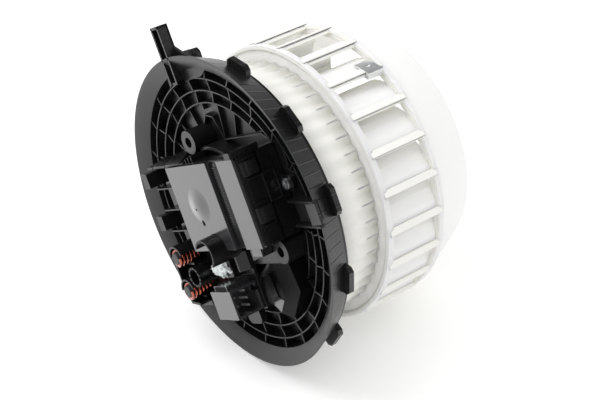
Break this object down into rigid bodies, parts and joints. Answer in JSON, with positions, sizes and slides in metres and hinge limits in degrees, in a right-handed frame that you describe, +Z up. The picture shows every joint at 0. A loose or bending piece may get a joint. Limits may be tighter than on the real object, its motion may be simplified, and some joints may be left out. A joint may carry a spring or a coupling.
{
  "type": "car cabin blower motor",
  "caption": "Cabin blower: broad-bladed wheel with a ribbed skirt and inlet shroud on a brush motor, held in a round ribbed flange that also carries an open speed controller.",
  "frame": {"origin": "On the shaft's axis, in the flange's seating plane, at the foot of the register that enters the air case.", "axes": "+Y runs along the shaft from the flange towards the wheel and its air inlet. The controller is on the -Y side. +Z is up as the picture shows the part, +X to the right seen from the controller side."},
  "size_m": [0.1726, 0.1348, 0.1726],
  "materials": {
    "flange_plastic": "black moulded plastic, semi-matt",
    "housing_plastic": "black moulded plastic, glossy",
    "cover_plastic": "black polished plastic that mirrors the room as grey",
    "wheel_plastic": "natural white translucent plastic",
    "can_steel": "zinc plated drawn steel",
    "magnet_ferrite": "ground dark grey ferrite",
    "card_plastic": "brown phenolic",
    "brush_carbon": "pressed carbon",
    "spring_steel": "bright spring steel",
    "bearing_bronze": "sintered bronze",
    "damper_rubber": "black rubber",
    "screw_steel": "zinc plated steel",
    "board_laminate": "green coated laminate",
    "transistor_resin": "black moulding resin",
    "sink_aluminium": "extruded aluminium",
    "capacitor_sleeve": "black shrink sleeve",
    "coil_copper": "enamelled copper wire",
    "pin_tin": "tinned brass",
    "bead_silicone": "white silicone",
    "shaft_steel": "ground steel",
    "core_steel": "stacked steel sheet",
    "commutator_copper": "turned copper bars"
  },
  "bodies": {
    "flange_assembly": {"mounting_flange": "flange_plastic", "motor_can": "can_steel", "field_magnets": "magnet_ferrite", "motor_end_cap": "can_steel", "brush_card": "card_plastic", "carbon_brushes": "brush_carbon", "brush_springs": "spring_steel", "rear_bearing": "bearing_bronze", "front_bearing": "bearing_bronze", "damper_ring": "damper_rubber", "motor_screws": "screw_steel", "control_housing": "housing_plastic", "control_cover": "cover_plastic", "circuit_board": "board_laminate", "power_transistors": "transistor_resin", "heat_sink": "sink_aluminium", "main_capacitor": "capacitor_sleeve", "fluted_capacitor": "capacitor_sleeve", "upper_choke_coil": "coil_copper", "lower_choke_coil": "coil_copper", "upper_ferrite_rod": "magnet_ferrite", "lower_ferrite_rod": "magnet_ferrite", "connector_socket": "housing_plastic", "connector_pins": "pin_tin", "sealing_beads": "bead_silicone", "housing_screw": "screw_steel"},
    "rotor": {"motor_shaft": "shaft_steel", "armature_core": "core_steel", "armature_winding": "coil_copper", "commutator": "commutator_copper", "blower_wheel": "wheel_plastic", "wheel_clip": "spring_steel", "balance_clip": "spring_steel"}
  },
  "joints": [
    {"name": "wheel_spin", "type": "hinge", "parent": "flange_assembly", "child": "rotor", "pos_m": [0, 0, 0], "axis": [0, 1, 0], "continuous": true}
  ]
}
